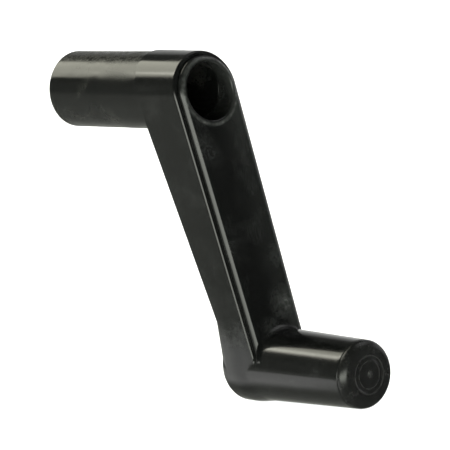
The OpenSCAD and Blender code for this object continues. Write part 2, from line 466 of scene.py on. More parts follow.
def handling_marks() -> bpy.types.NodeTree:
    """Marks of storage and hands: soft smudges and short fine scratches.

    Returns:
        A group that puts out a Smudge mask and a Scratch mask.
    """
    bench, source, sink = effect(
        "handling_marks",
        [Port("Smudge Size", value=70.0), Port("Smudges", value=0.5), Port("Scratches", value=0.5)],
        [Port("Smudge"), Port("Scratch")],
    )
    place = bench.add("ShaderNodeTexCoord").outputs["Object"]
    broad = bench.noise(place, source.outputs["Smudge Size"], 4.0, 0.62, 0.8)
    fine = bench.noise(place, 900.0, 3.0, 0.7)
    smudge = bench.maths("MULTIPLY", bench.step(broad, 0.48, 0.72), bench.step(fine, 0.25, 0.7))
    smudge = bench.maths("MULTIPLY", smudge, source.outputs["Smudges"], clamp=True)
    bench.tree.links.new(smudge, sink.inputs["Smudge"])
    masks = []
    for angle, stretch in ((0.35, 26.0), (-0.6, 34.0), (1.2, 22.0)):
        turned = bench.add(
            "ShaderNodeMapping",
            None,
            Vector=place,
            Rotation=(0.3, angle, angle * 0.7),
            Scale=(stretch, 1.0, 1.0),
        )
        lines = bench.noise(turned.outputs[0], 150.0, 2.0, 0.5)
        off = bench.maths("ABSOLUTE", bench.maths("SUBTRACT", lines, 0.5))
        masks.append(bench.step(off, 0.0, 0.012, 1.0, 0.0))
    patch = bench.step(bench.noise(place, 95.0, 2.0, 0.5), 0.5, 0.66)
    lines = bench.maths("MAXIMUM", bench.maths("MAXIMUM", masks[0], masks[1]), masks[2])
    lines = bench.maths("MULTIPLY", lines, patch)
    lines = bench.maths("MULTIPLY", lines, source.outputs["Scratches"], clamp=True)
    bench.tree.links.new(lines, sink.inputs["Scratch"])
    return bench.tree


def tool_marks() -> bpy.types.NodeTree:
    """Rings that a lathe tool leaves round the hub axis, with a little stain.

    Formula: a noise of the distance from the hub axis and of the place along it, drawn
    out round the axis so that its streaks are rings.

    Returns:
        A group that puts out a Height, a Tone and a Stain mask.
    """
    bench, source, sink = effect(
        "tool_marks", [Port("Fineness", value=4000.0)], [Port("Height"), Port("Tone"), Port("Stain")]
    )
    place = bench.add("ShaderNodeTexCoord").outputs["Object"]
    parts = bench.add("ShaderNodeSeparateXYZ", None, Vector=place)
    flat = bench.add("ShaderNodeCombineXYZ", None, X=parts.outputs[0], Y=parts.outputs[2])
    radius = bench.vector("LENGTH", flat.outputs[0], out="Value")
    ringed = bench.add("ShaderNodeCombineXYZ", None, X=radius, Y=parts.outputs[1])
    rings = bench.add(
        "ShaderNodeTexNoise", None, Vector=ringed.outputs[0], Scale=source.outputs["Fineness"], Detail=2.0
    ).outputs["Fac"]
    bench.tree.links.new(rings, sink.inputs["Height"])
    broad = bench.noise(ringed.outputs[0], 700.0, 3.0)
    tone = bench.maths("MULTIPLY_ADD", broad, 0.5, bench.maths("MULTIPLY", rings, 0.5))
    bench.tree.links.new(tone, sink.inputs["Tone"])
    stain = bench.step(bench.noise(place, 260.0, 4.0, 0.65), 0.5, 0.74)
    bench.tree.links.new(stain, sink.inputs["Stain"])
    return bench.tree


@dataclass
class Effects:
    """The shared effects, built once."""

    skin: bpy.types.NodeTree
    marks: bpy.types.NodeTree
    tooling: bpy.types.NodeTree

    @classmethod
    def build(cls) -> "Effects":
        """All shared effects."""
        return cls(moulded_skin(), handling_marks(), tool_marks())


def new_material(name: str) -> tuple[bpy.types.Material, NodeBench, Any]:
    """A material with an empty tree and a Principled shader.

    Args:
        name: Name of the material.

    Returns:
        The material, the bench for its tree and the Principled node.
    """
    material = bpy.data.materials.new(name)
    material.use_nodes = True
    bench = NodeBench(material.node_tree)
    shader = bench.add("ShaderNodeBsdfPrincipled")
    bench.add("ShaderNodeOutputMaterial", None, Surface=shader.outputs[0])
    return material, bench, shader


@dataclass(frozen=True)
class DustAndPaintedLightPatch:
    """A spot or ring of lighter, rougher colour, seen along the hub axis, in millimetres on the bench: dust,
    and on some pieces painted highlight, painted shade and painted reflection.
    """

    x: float
    z: float
    radius: float
    width: float
    amount: float

    def mask(self, bench: NodeBench) -> Any:
        """The patch as a mask.

        Formula: the amount, faded out smoothly as the distance from the circle of this
        radius about (x, z) grows to the width, times a broken fine noise.

        Args:
            bench: Bench of the material's tree.

        Returns:
            Socket with the mask.
        """
        place = bench.add("ShaderNodeTexCoord").outputs["Object"]
        flat = bench.vector("MULTIPLY", place, (1.0, 0.0, 1.0))
        away = bench.vector("DISTANCE", flat, (self.x * MM, 0.0, self.z * MM), out="Value")
        off = bench.maths("ABSOLUTE", bench.maths("SUBTRACT", away, self.radius * MM))
        soft = bench.step(off, 0.0, self.width * MM, self.amount, 0.0)
        broken = bench.step(bench.noise(place, 520.0, 4.0, 0.65), 0.3, 0.68, 0.25, 1.0)
        return bench.maths("MULTIPLY", soft, broken)


@dataclass(frozen=True)
class MouldedPlastic:
    """A black moulded plastic: its colour, gloss, skin and marks."""

    name: str
    tint: Colour = (0.0048, 0.0054, 0.0050)
    # lighter colour of smudges, scratches and dust, also laid as painted highlight and painted reflection by
    # the patches
    dust_and_painted_light: Colour = (0.034, 0.036, 0.034)
    gloss: float = 0.12
    dull: float = 0.30
    index: float = 1.46
    stretch: Colour = (1.0, 1.0, 1.0)
    ripple: float = 1.0
    peel: float = 0.06
    grain: float = 0.01
    smudge_size: float = 70.0
    smudges: float = 0.5
    scratches: float = 0.4
    depth_mm: float = 0.05
    haze: float = 0.0
    haze_side: tuple[float, float] = (-2.0, 9.0)
    flow_dull: float = 0.03
    # patches of dust and of painted highlight, painted shade and painted reflection
    dust_and_painted_light_patches: tuple[DustAndPaintedLightPatch, ...] = ()

    def material(self, effects: Effects) -> bpy.types.Material:
        """The finish as a material.

        Args:
            effects: Shared effects to draw on.

        Returns:
            The material.
        """
        material, bench, shader = new_material(self.name)
        skin = bench.add(
            "ShaderNodeGroup",
            {"node_tree": effects.skin},
            Stretch=self.stretch,
            Ripple=self.ripple,
            Peel=self.peel,
            Grain=self.grain,
        )
        marks = bench.add(
            "ShaderNodeGroup",
            {"node_tree": effects.marks},
            Smudge_Size=self.smudge_size,
            Smudges=self.smudges,
            Scratches=self.scratches,
        )
        smudge, scratch = marks.outputs["Smudge"], marks.outputs["Scratch"]
        if self.haze:
            place = bench.add("ShaderNodeTexCoord").outputs["Object"]
            across = bench.add("ShaderNodeSeparateXYZ", None, Vector=place)
            low, high = (v * MM for v in self.haze_side)
            haze = bench.step(across.outputs[0], low, high, 0.0, self.haze)
            haze = bench.maths("MULTIPLY", haze, bench.maths("ADD", skin.outputs["Flow"], 0.5))
            smudge = bench.maths("MAXIMUM", smudge, haze)
        # the patches lighten and roughen the surface: dust on some, painted highlight, painted shade and
        # painted reflection on others
        for patch in self.dust_and_painted_light_patches:
            smudge = bench.maths("MAXIMUM", smudge, patch.mask(bench))
        colour = bench.mix(smudge, self.tint, self.dust_and_painted_light)
        colour = bench.mix(bench.maths("MULTIPLY", scratch, 0.35), colour, tuple(2.2 * c for c in self.dust_and_painted_light))
        rough = bench.maths("MULTIPLY_ADD", smudge, self.dull - self.gloss, self.gloss)
        rough = bench.maths("MULTIPLY_ADD", skin.outputs["Flow"], self.flow_dull, rough)
        rough = bench.maths("MULTIPLY_ADD", scratch, 0.12, rough)
        height = bench.maths("MULTIPLY_ADD", scratch, -0.02, skin.outputs["Height"])
        bump = bench.add("ShaderNodeBump", None, Strength=1.0, Distance=self.depth_mm * MM, Height=height)
        tree = material.node_tree
        tree.links.new(colour, shader.inputs["Base Color"])
        tree.links.new(rough, shader.inputs["Roughness"])
        tree.links.new(bump.outputs[0], shader.inputs["Normal"])
        shader.inputs["IOR"].default_value = self.index
        return material


@dataclass(frozen=True)
class TurnedMetal:
    """A turned metal: its colour, sheen, tool rings and stain."""

    name: str
    bright: Colour
    dark: Colour
    stain: Colour
    rough: float = 0.26
    fineness: float = 4000.0
    depth_mm: float = 0.004

    def material(self, effects: Effects) -> bpy.types.Material:
        """The finish as a material.

        Args:
            effects: Shared effects to draw on.

        Returns:
            The material.
        """
        material, bench, shader = new_material(self.name)
        marks = bench.add("ShaderNodeGroup", {"node_tree": effects.tooling}, Fineness=self.fineness)
        colour = bench.mix(marks.outputs["Tone"], self.dark, self.bright)
        stained = bench.maths("MULTIPLY", marks.outputs["Stain"], 0.45)
        colour = bench.mix(stained, colour, self.stain)
        rough = bench.maths("MULTIPLY_ADD", marks.outputs["Tone"], 0.14, self.rough)
        rough = bench.maths("MULTIPLY_ADD", marks.outputs["Stain"], 0.14, rough)
        bump = bench.add(
            "ShaderNodeBump", None, Strength=1.0, Distance=self.depth_mm * MM, Height=marks.outputs["Height"]
        )
        tree = material.node_tree
        tree.links.new(colour, shader.inputs["Base Color"])
        tree.links.new(rough, shader.inputs["Roughness"])
        tree.links.new(bump.outputs[0], shader.inputs["Normal"])
        shader.inputs["Metallic"].default_value = 1.0
        return material


@dataclass
class Finishes:
    """Every finish of the handle."""

    arm: bpy.types.Material
    cover: bpy.types.Material
    tube: bpy.types.Material
    cap: bpy.types.Material
    steel: bpy.types.Material
    spring: bpy.types.Material
    zinc: bpy.types.Material
    oxide: bpy.types.Material
    brass: bpy.types.Material

    @classmethod
    def build(cls, effects: Effects) -> "Finishes":
        """Mixes every finish.

        Args:
            effects: Shared effects to draw on.

        Returns:
            All the finishes.
        """
        steel_dark, steel_stain = (0.36, 0.36, 0.37), (0.22, 0.19, 0.16)
        return cls(
            arm=MouldedPlastic(
                "black_arm_plastic",
                stretch=(1.0, 0.8, 0.35),
                ripple=0.5,
                # lighter, rougher patches on the left of the heel: dust and a painted reflection of the floor
                dust_and_painted_light_patches=(DustAndPaintedLightPatch(-13.0, -78.0, 0.0, 10.0, 0.6), DustAndPaintedLightPatch(-12.0, -68.0, 0.0, 9.0, 0.3)),
            ).material(effects),
            cover=MouldedPlastic(
                "black_cover_plastic",
                tint=(0.0046, 0.0052, 0.0048),
                gloss=0.16,
                stretch=(1.0, 1.0, 0.6),
                ripple=0.7,
                dust_and_painted_light=(0.075, 0.080, 0.075),
                smudges=0.2,
                smudge_size=45.0,
                haze=0.2,
                dust_and_painted_light_patches=(
                    # a lighter, rougher ring round the hub opening: dust and a painted highlight of the
                    # opening's rounded edge
                    DustAndPaintedLightPatch(0.0, 0.0, 10.6, 1.0, 0.8),
                    DustAndPaintedLightPatch(6.5, -71.0, 0.0, 9.0, 0.75),
                    DustAndPaintedLightPatch(8.5, -56.0, 0.0, 8.0, 0.35),
                    DustAndPaintedLightPatch(-2.0, -78.0, 1.0, 5.0, 0.35),
                ),
            ).material(effects),
            tube=MouldedPlastic(
                "black_tube_plastic",
                stretch=(0.6, 0.35, 0.6),
                dust_and_painted_light=(0.050, 0.050, 0.043),
                ripple=3.5,
                gloss=0.1,
                dull=0.5,
                index=1.43,
                smudges=0.6,
                smudge_size=60.0,
                scratches=0.12,
                flow_dull=0.25,
                dust_and_painted_light_patches=(DustAndPaintedLightPatch(-2.0, 13.0, 0.0, 9.5, 0.9),),
            ).material(effects),
            cap=MouldedPlastic(
                "black_cap_plastic",
                tint=(0.0100, 0.0106, 0.0098),
                dust_and_painted_light=(0.05, 0.052, 0.048),
                gloss=0.24,
                dull=0.42,
                ripple=0.4,
                peel=0.16,
                grain=0.05,
                smudge_size=160.0,
                smudges=0.3,
                scratches=0.0,
                dust_and_painted_light_patches=(
                    # lighter rings either side of the groove, which stays dark: dust and painted shade and
                    # highlight of the groove's relief
                    DustAndPaintedLightPatch(0.0, -90.0, 6.1, 0.5, 0.6),
                    DustAndPaintedLightPatch(0.0, -90.0, 4.4, 0.45, 0.35),
                    DustAndPaintedLightPatch(0.2, -89.75, 0.0, 2.2, 0.55),
                    DustAndPaintedLightPatch(0.2, -89.6, 0.0, 0.9, 1.0),
                ),
            ).material(effects),
            steel=TurnedMetal("turned_steel", (0.62, 0.62, 0.62), steel_dark, steel_stain).material(effects),
            spring=TurnedMetal(
                "sprung_steel", (0.40, 0.40, 0.41), (0.22, 0.22, 0.23), steel_stain, 0.3
            ).material(effects),
            zinc=TurnedMetal(
                "zinc_plate", (0.72, 0.72, 0.70), (0.50, 0.50, 0.50), (0.46, 0.43, 0.34), 0.22, 2600.0
            ).material(effects),
            oxide=TurnedMetal(
                "black_oxide_steel",
                (0.075, 0.076, 0.08),
                (0.035, 0.036, 0.04),
                (0.09, 0.06, 0.045),
                0.34,
                3000.0,
            ).material(effects),
            brass=TurnedMetal(
                "soft_brass", (0.78, 0.60, 0.29), (0.56, 0.41, 0.18), (0.30, 0.20, 0.10), 0.28
            ).material(effects),
        )


# --------------------------------------------------------------------------- pieces


@dataclass
class ArmOutline:
    """Outline of the arm seen along the hub axis: two circles joined by their outer tangents."""

    throw: float = THROW
    boss_points: int = 88
    side_points: int = 44
    low_points: int = 56

    def rings(self, boss: Array, low: Array) -> tuple[Array, Array]:
        """Outlines of several sizes, point for point in line with each other.

        Formula: with the sine of the lean equal to (boss - low) over the throw, the boss
        arc runs from minus the lean to half a turn plus the lean, the low arc takes the
        rest of the turn, and straight sides join their ends.

        Args:
            boss: Radius of the boss circle, one for each ring.
            low: Radius of the low circle, one for each ring.

        Returns:
            X and Z of the points, rings by points.
        """
        boss, low = np.atleast_1d(boss)[:, None], np.atleast_1d(low)[:, None]
        lean = np.arcsin((boss - low) / self.throw)
        s_boss = np.linspace(0.0, 1.0, self.boss_points, endpoint=False)
        s_side = np.linspace(0.0, 1.0, self.side_points, endpoint=False)
        s_low = np.linspace(0.0, 1.0, self.low_points, endpoint=False)
        top = -lean + s_boss * (pi + 2.0 * lean)
        foot = pi + lean + s_low * (pi - 2.0 * lean)
        radius = boss + s_side * (low - boss)
        rising = low + s_side * (boss - low)
        x = np.concatenate(
            [boss * np.cos(top), -radius * np.cos(lean), low * np.cos(foot), rising * np.cos(lean)], axis=1
        )
        z = np.concatenate(
            [
                boss * np.sin(top),
                -radius * np.sin(lean) - self.throw * s_side,
                low * np.sin(foot) - self.throw,
                -rising * np.sin(lean) - self.throw * (1.0 - s_side),
            ],
            axis=1,
        )
        return x, z

    def towards_hub(self, x: Array, z: Array, radius: float, shares: Array) -> tuple[Array, Array]:
        """Rings between an outline and a circle on the hub axis.

        Formula: each point moves in a straight line to the point of the circle that lies
        in the same direction from the hub axis.

        Args:
            x: X of the outline's points.
            z: Z of the outline's points.
            radius: Radius of the circle.
            shares: How far each ring has moved, from 0 at the outline to 1 at the circle.

        Returns:
            X and Z of the rings.
        """
        reach = np.hypot(x, z)
        s = shares[:, None]
        return x + s * (x * radius / reach - x), z + s * (z * radius / reach - z)


def stack_rows(rows: Sequence[tuple[Array, Array, Array]]) -> Array:
    """Rows of rings given as X, Y and Z arrays, as one grid."""
    stacks = [np.stack(np.broadcast_arrays(*r), axis=-1).reshape(-1, r[0].shape[-1], 3) for r in rows]
    return np.concatenate(stacks)


@dataclass
class Arm:
    """The arm moulding: boss, rim, tapering wall, heel and hollow grip in one piece."""

    outline: ArmOutline
    boss_radius: float = 12.97
    boss_draft: float = 0.238
    foot_step: float = 0.38
    rim: float = 1.38
    rim_edge: float = 0.75
    recess: float = 2.0
    edge_band_boss: float = 1.5
    heel_round: float = 2.9
    lip: float = 0.14
    bore: float = 10.95
    seat_radius: float = 11.5
    seat_depth: float = 6.5
    grip_end: float = -52.74
    grip_bore: float = 7.85
    screw_heights: tuple[float, float] = (-24.0, -53.0)
    sink_radius: float = 3.1
    screw_hole: float = 1.6

    def radii(self, share: Array) -> tuple[Array, Array]:
        """Radii of the wall's outline.

        Formula: the boss grows evenly towards the rear; the low end follows the grip's
        radius, less a step that dies away from the front as the fourth power.

        Args:
            share: 0 at the front edge, 1 at the rear edge.

        Returns:
            Boss radius and low radius.
        """
        y_low = -THROW * FRONT_LEAN * (1.0 - share) + HEEL_FACE * share
        low = grip_radius(y_low) - 0.008 - self.foot_step * (1.0 - share) ** 4
        return self.boss_radius + self.boss_draft * share, low

    def slab(self) -> bpy.types.Object:
        """The arm without its grip, as rings carried from the hub bore over the rear face, round
        the edge, up the wall, over the rim and down into the cover's recess."""
        boss, low = self.radii(np.ones(1))
        # rear edge: a band along the wall, finely spaced where the edge rounds over
        band = np.concatenate(
            [
                [1.0, 0.88, 0.75, 0.6, 0.47, 0.36, 0.27],
                [0.19, 0.13, 0.085, 0.052, 0.028, 0.012, 0.003, 0.0],
            ]
        )
        ex, ez = self.outline.rings(boss - self.edge_band_boss * band, low - HEEL_EDGE * band)
        widest = self.edge_band_boss + (HEEL_EDGE - self.edge_band_boss) * np.clip(-ez / THROW, 0.0, 1.0)
        edge_y = rear_surface(ez, widest * band[:, None])
        # rear face, from the bore out to the edge
        shares = np.concatenate([np.linspace(1.0, 0.02, 64), [0.006]])
        fx, fz = self.outline.towards_hub(ex[:1], ez[:1], self.bore, shares)
        # wall, from the rear edge to the front edge
        share = np.linspace(0.97, 0.02, 18)
        wall_boss, wall_low = self.radii(share)
        wx, wz = self.outline.rings(wall_boss, wall_low)
        front_y, rear_y = front_plane(wz) + self.rim_edge, rear_surface(wz, 0.0)
        wall_y = (1.0 - share[:, None]) * front_y + share[:, None] * rear_y
        # front edge, rim, recess wall and floor
        front_boss, front_low = self.radii(np.zeros(1))
        turn = arc(0.0, 90.0, 8)
        bend = arc(90.0, 180.0, 5)
        inset = np.concatenate(
            [
                self.rim_edge * (1.0 - np.cos(turn)),
                [self.rim_edge + 0.08, self.rim - self.lip - 0.06],
                self.rim - self.lip - self.lip * np.cos(bend),
                [self.rim, self.rim, self.rim + 0.4],
            ]
        )
        drop = np.concatenate(
            [
                self.rim_edge * (1.0 - np.sin(turn)),
                [0.0, 0.0],
                self.lip * (1.0 - np.sin(bend)),
                [self.lip + 0.1, self.recess, self.recess],
            ]
        )
        rx, rz = self.outline.rings(front_boss - inset, front_low - inset)
        rim_y = front_plane(rz) + drop[:, None]
        gx, gz = self.outline.towards_hub(rx[-1:], rz[-1:], self.seat_radius, np.linspace(0.1, 1.0, 8))
        seat_x, seat_z = gx[-1:], gz[-1:]
        scale = self.bore / self.seat_radius
        flat = np.full_like(seat_x, self.seat_depth)
        rows = [
            (fx, rear_surface(fz), fz),
            (ex, edge_y, ez),
            (wx, wall_y, wz),
            (rx, rim_y, rz),
            (gx, front_plane(gz) + self.recess, gz),
            (seat_x, flat, seat_z),
            (seat_x * scale, flat, seat_z * scale),
        ]
        return BENCH.shell("arm_shell", stack_rows(rows), ring=True)

    def grip(self) -> bpy.types.Object:
        """The heel and hollow grip, turned about the grip axis, closed at the heel."""
        turn = arc(90.0, 0.0, 12)
        heel = np.stack(
            [
                HEEL_FACE - self.heel_round * (1.0 - np.sin(turn)),
                HEEL_RADIUS - self.heel_round * (1.0 - np.cos(turn)),
            ],
            axis=1,
        )
        y = np.concatenate([np.linspace(-2.6, -24.0, 44), np.linspace(-25.0, self.grip_end + 0.3, 26)])
        side = np.stack([y, grip_radius(y)], axis=1)
        end_r = float(grip_radius(np.array(self.grip_end)))
        turn = arc(0.0, 90.0, 5)
        end = np.stack(
            [self.grip_end + SEAM_ROUND * (1.0 - np.sin(turn)), end_r - SEAM_ROUND * (1.0 - np.cos(turn))],
            axis=1,
        )
        hollow = rounded(
            [
                (self.grip_end, end_r - 0.3, 0.0),
                (self.grip_end, self.grip_bore, 0.25),
                (-3.0, self.grip_bore, 0.6),
                (-3.0, 0.0, 0.0),
            ]
        )
        profile = np.concatenate([[[HEEL_FACE, 0.0], [HEEL_FACE, 9.6]], heel, side, end, hollow])
        return BENCH.turned("grip", profile, (0.0, -THROW), 192)

    def build(self, finish: bpy.types.Material) -> bpy.types.Object:
        """Joins slab and grip, drills the screw holes, and seats the arm.

        Args:
            finish: Plastic of the arm.

        Returns:
            The finished piece.
        """
        piece = self.slab()
        BENCH.combine(piece, self.grip(), Cut.JOIN)
        for start in (20.0, 146.0):
            root = RootFillet(radius=0.42, base=0.0, start=start, end=start + 14.0)
            BENCH.combine(piece, root.strip("rim_root"), Cut.JOIN)
        for height in self.screw_heights:
            face = BOSS_DEPTH + REAR_LEAN * height
            step = face - 2.5
            hole, sink = self.screw_hole, self.sink_radius
            profile = np.array(
                [[-40.0, 0.0], [-40.0, hole], [step, hole], [step, sink], [40.0, sink], [40.0, 0.0]]
            )
            BENCH.combine(piece, BENCH.turned("drill", profile, (0.0, height), 64), Cut.REMOVE)
        piece.data.materials.append(finish)
        BENCH.seat(piece, Body.HANDLE, "arm_plastic", "arm_body")
        return piece


@dataclass
class RootFillet:
    """Hollow fillet where the grip rises out of a leaning face."""

    radius: float
    base: float
    start: float
    end: float
    fade: bool = False

    def strip(self, name: str) -> bpy.types.Object:
        """The fillet as a closed strip bent round the grip.

        Formula: at each angle round the grip the section is a quarter circle, hollow
        side outwards, that leaves the grip at its radius and runs out into the face; three
        buried corners close it. With fade, the radius swells from its ends as the square
        root of a sine.

        Args:
            name: Name of the strip.

        Returns:
            The strip.
        """
        theta = arc(self.start, self.end, 120)
        radius = np.full_like(theta, self.radius)
        if self.fade:
            share = np.linspace(0.0, pi, len(theta))
            radius = 0.3 + (self.radius - 0.3) * np.sqrt(np.sin(share).clip(0.0))
        turn = arc(0.0, 90.0, 12)[:, None]
        # the face's height where the grip's side meets it
        z_foot = -THROW + 12.0 * np.sin(theta)
        grip = grip_radius(front_plane(z_foot) + self.base - radius) + 0.03
        out = grip + radius * (1.0 - np.cos(turn))
        lift = -radius * (1.0 - np.sin(turn)) - 0.005
        buried_out = np.stack([out[-1], grip - 0.5, grip - 0.5])
        buried_lift = np.stack([np.full_like(theta, 0.4), np.full_like(theta, 0.4), lift[0]])
        out = np.concatenate([out, buried_out])
        lift = np.concatenate([lift, buried_lift])
        x = out * np.cos(theta)
        z = -THROW + out * np.sin(theta)
        grid = np.stack([x, front_plane(z) + self.base + lift, z], axis=-1).transpose(1, 0, 2)
        middle = grid.mean(axis=1, keepdims=True)
        ends = [np.repeat(m, grid.shape[1], axis=1) for m in (middle[:1], middle[-1:])]
        closed = np.concatenate([ends[0], grid, ends[1]])
        return BENCH.shell(name, closed)


@dataclass
class Cover:
    """The raised front cover, with the hub opening and the fillet round the grip."""

    outline: ArmOutline
    boss_radius: float = 12.97
    low_radius: float = 11.62
    edge_inset: float = 1.5
    rise: float = 2.05
    sink: float = 1.9
    edge: float = 1.8
    opening: float = 9.33
    opening_edge: float = 0.5
    collar: float = 10.73
    collar_end: float = 4.2
    root_radius: float = 1.6
    grip_gap: float = 0.015

    def plate(self) -> bpy.types.Object:
        """The plate as rings carried from the hub opening over the front and round its edge."""
        boss, low = self.boss_radius - self.edge_inset, self.low_radius - self.edge_inset
        turn = arc(90.0, 0.0, 14)
        inset = np.concatenate([self.edge * (1.0 - np.cos(turn)), [0.0, 0.0, 0.0]])
        below = self.edge - self.rise
        drop = np.concatenate(
            [self.edge * (1.0 - np.sin(turn)) - self.rise, [below + 0.2, self.sink * 0.5, self.sink]]
        )
        ox, oz = self.outline.rings(boss - inset, low - inset)
        outer_y = front_plane(oz) + drop[:, None]
        shares = np.concatenate([np.linspace(1.0, 0.03, 22), [0.01]])
        face_x, face_z = self.outline.towards_hub(ox[:1], oz[:1], self.opening + self.opening_edge, shares)
        turn = arc(0.0, 90.0, 6)
        hole = self.opening + self.opening_edge * (1.0 - np.cos(turn))
        ray = np.hypot(face_x[:1], face_z[:1])
        ux, uz = face_x[:1] / ray, face_z[:1] / ray
        hx, hz = ux * hole[:, None], uz * hole[:, None]
        hole_y = front_plane(hz) - self.rise + self.opening_edge * (1.0 - np.sin(turn))[:, None]
        back_x, back_z = self.outline.towards_hub(ox[-1:], oz[-1:], self.collar, np.linspace(0.1, 1.0, 6))
        flat = np.full_like(ux, self.collar_end)
        rows = [
            (ux * self.opening, flat, uz * self.opening),
            (hx, hole_y, hz),
            (face_x[1:], front_plane(face_z[1:]) - self.rise, face_z[1:]),
            (ox, outer_y, oz),
            (back_x, front_plane(back_z) + self.sink, back_z),
            (ux * self.collar, flat, uz * self.collar),
        ]
        return BENCH.shell("cover_plate", stack_rows(rows), ring=True)

    def build(self, finish: bpy.types.Material) -> bpy.types.Object:
        """Adds the root fillet, hollows the cover for the grip, and seats it.

        Args:
            finish: Plastic of the cover.

        Returns:
            The finished piece.
        """
        piece = self.plate()
        root = RootFillet(radius=self.root_radius, base=-self.rise, start=18.0, end=162.0, fade=True)
        BENCH.combine(piece, root.strip("cover_root"), Cut.JOIN)
        rear, front = 6.0, -32.0
        y = np.linspace(rear, front, 60)
        side = np.stack([y, grip_radius(y) + self.grip_gap], axis=1)
        profile = np.concatenate([[[rear, 0.0]], side, [[front, 0.0]]])
        BENCH.combine(piece, BENCH.turned("grip_room", profile, (0.0, -THROW), 192), Cut.REMOVE)
        piece.data.materials.append(finish)
        BENCH.seat(piece, Body.HANDLE, "cover_plastic", "front_cover")
        return piece


@dataclass
class HubTube:
    """The hub tube: outside, spigot, front well, web and the pocket of the bush."""

    radius: float = 12.7
    length: float = HUB_LENGTH
    rear_edge: float = 0.35
    spigot: float = 10.9
    spigot_front: float = 4.3
    well: float = 8.9
    well_end: float = 36.4
    washer_seat: float = 8.1
    seat_end: float = 38.0
    web_hole: float = 3.3
    web_end: float = 42.0
    pocket: float = 10.0
    clamp_place: float = 54.0
    clamp_hole: float = 3.3

    def build(self, finish: bpy.types.Material) -> bpy.types.Object:
        """Turns the tube, leans its shoulder to the boss, drills the clamp hole, and seats it.

        Formula: the outside is the radius less a sink of 0.04 that falls away as a bell
        curve about y 41, where the web is.

        Args:
            finish: Plastic of the tube.

        Returns:
            The finished piece.
        """
        y = np.linspace(26.5, self.length - self.rear_edge - 0.3, 60)
        outside = np.stack([y, self.radius - 0.04 * np.exp(-(((y - 40.5) / 2.4) ** 2))], axis=1)
        turn = arc(90.0, 0.0, 7)
        edge = np.stack(
            [
                self.length - self.rear_edge * (1.0 - np.cos(turn)),
                self.radius - self.rear_edge * (1.0 - np.sin(turn)),
            ],
            axis=1,
        )
        inside = rounded(
            [
                (self.length, self.radius - 0.6, 0.0),
                (self.length, self.pocket, 0.25),
                (self.web_end, self.pocket, 0.0),
                (self.web_end, self.web_hole, 0.2),
                (self.seat_end, self.web_hole, 0.2),
                (self.seat_end, self.washer_seat, 0.0),
                (self.well_end, self.washer_seat, 0.0),
                (self.well_end, self.well, 0.2),
                (self.spigot_front, self.well, 0.1),
                (self.spigot_front, self.spigot, 0.2),
                (12.0, self.spigot, 0.0),
            ],
            5,
        )
        # the shoulder leans with the rear face of the boss
        shoulder = np.array([[BOSS_DEPTH + 0.01, self.spigot], [BOSS_DEPTH + 0.01, self.radius]])
        profile = np.concatenate([outside, edge[1:], inside, shoulder])
        tilt = np.concatenate([np.zeros(len(profile) - 2), [REAR_LEAN, REAR_LEAN]])
        piece = BENCH.turned("hub_tube", profile, segments=192, ring=True, tilt=tilt)
        drill = np.array([[-30.0, 0.0], [-30.0, self.clamp_hole], [-6.0, self.clamp_hole], [-6.0, 0.0]])
        tool = BENCH.turned("drill", drill, (0.0, self.clamp_place), 72, axis=Axis.SCREW)
        BENCH.combine(piece, tool, Cut.REMOVE)
        piece.data.materials.append(finish)
        BENCH.seat(piece, Body.HANDLE, "tube_plastic", "hub_sleeve")
        return piece


@dataclass
class GripCap:
    """The cap pressed into the end of the grip, with its rounded rim, ring and gate mark."""

    joint: float = -52.84
    face: float = -56.0
    rim: float = 3.0
    plug: float = 7.75
    plug_end: float = -44.0
    ring_radius: float = 5.3
    ring_depth: float = 0.28
    ring_width: float = 0.46
    gate_x: float = 0.2
    gate_z: float = -89.75
    gate_radius: float = 1.1
    gate_rise: float = 0.74
    gate_root: float = 0.5

    def build(self, finish: bpy.types.Material) -> bpy.types.Object:
        """Turns the cap, adds its gate mark, and seats it.

        Formula: inside the rim the face lies back by a shallow dish, with a groove as a
        bell curve about the ring's radius.

        Args:
            finish: Plastic of the cap.

        Returns:
            The finished piece.
        """
        outer = float(grip_radius(np.array(self.joint)))
        turn = arc(90.0, 0.0, 5)
        edge = np.stack(
            [self.joint - SEAM_ROUND * (1.0 - np.sin(turn)), outer - SEAM_ROUND * (1.0 - np.cos(turn))],
            axis=1,
        )
        turn = arc(0.0, 90.0, 18)
        rim = np.stack(
            [
                self.face + self.rim * (1.0 - np.sin(turn)),
                outer - self.rim * (1.0 - np.cos(turn)) - 0.02,
            ],
            axis=1,
        )
        r = np.linspace(outer - self.rim - 0.2, 0.0, 70)
        dish = 0.10 * (1.0 - (r / (outer - self.rim)) ** 2)
        groove = self.ring_depth * np.exp(-(((r - self.ring_radius) / self.ring_width) ** 2))
        face = np.stack([self.face + dish + groove, r], axis=1)
        plug = rounded(
            [
                (self.plug_end, 0.0, 0.0),
                (self.plug_end, self.plug, 0.6),
                (self.joint, self.plug, 0.0),
                (self.joint, outer - 0.4, 0.0),
            ]
        )
        profile = np.concatenate([plug, edge, rim, face])
        piece = BENCH.turned("grip_end_cap", profile, (0.0, -THROW), 176)
        # gate mark: a small nib left where the plastic was fed in
        t = np.linspace(0.0, 1.0, 14)
        dome = self.face + self.gate_root - self.gate_rise * np.sqrt(1.0 - t**2)
        buried = self.face + 0.9
        foot = [[buried, self.gate_radius], [buried, 0.0]]
        nib_profile = np.concatenate([np.stack([dome, self.gate_radius * t], axis=1), foot])
        nib = BENCH.turned("gate", nib_profile, (self.gate_x, self.gate_z), 40)
        centre = Vector((self.gate_x, 0.0, self.gate_z))
        oval = Matrix.Diagonal((0.6, 1.0, 1.15, 1.0))
        nib.data.transform(Matrix.Translation(centre) @ oval @ Matrix.Translation(-centre))
        BENCH.combine(piece, nib, Cut.JOIN)
        piece.data.materials.append(finish)
        BENCH.seat(piece, Body.HANDLE, "cap_plastic", "grip_cap")
        return piece


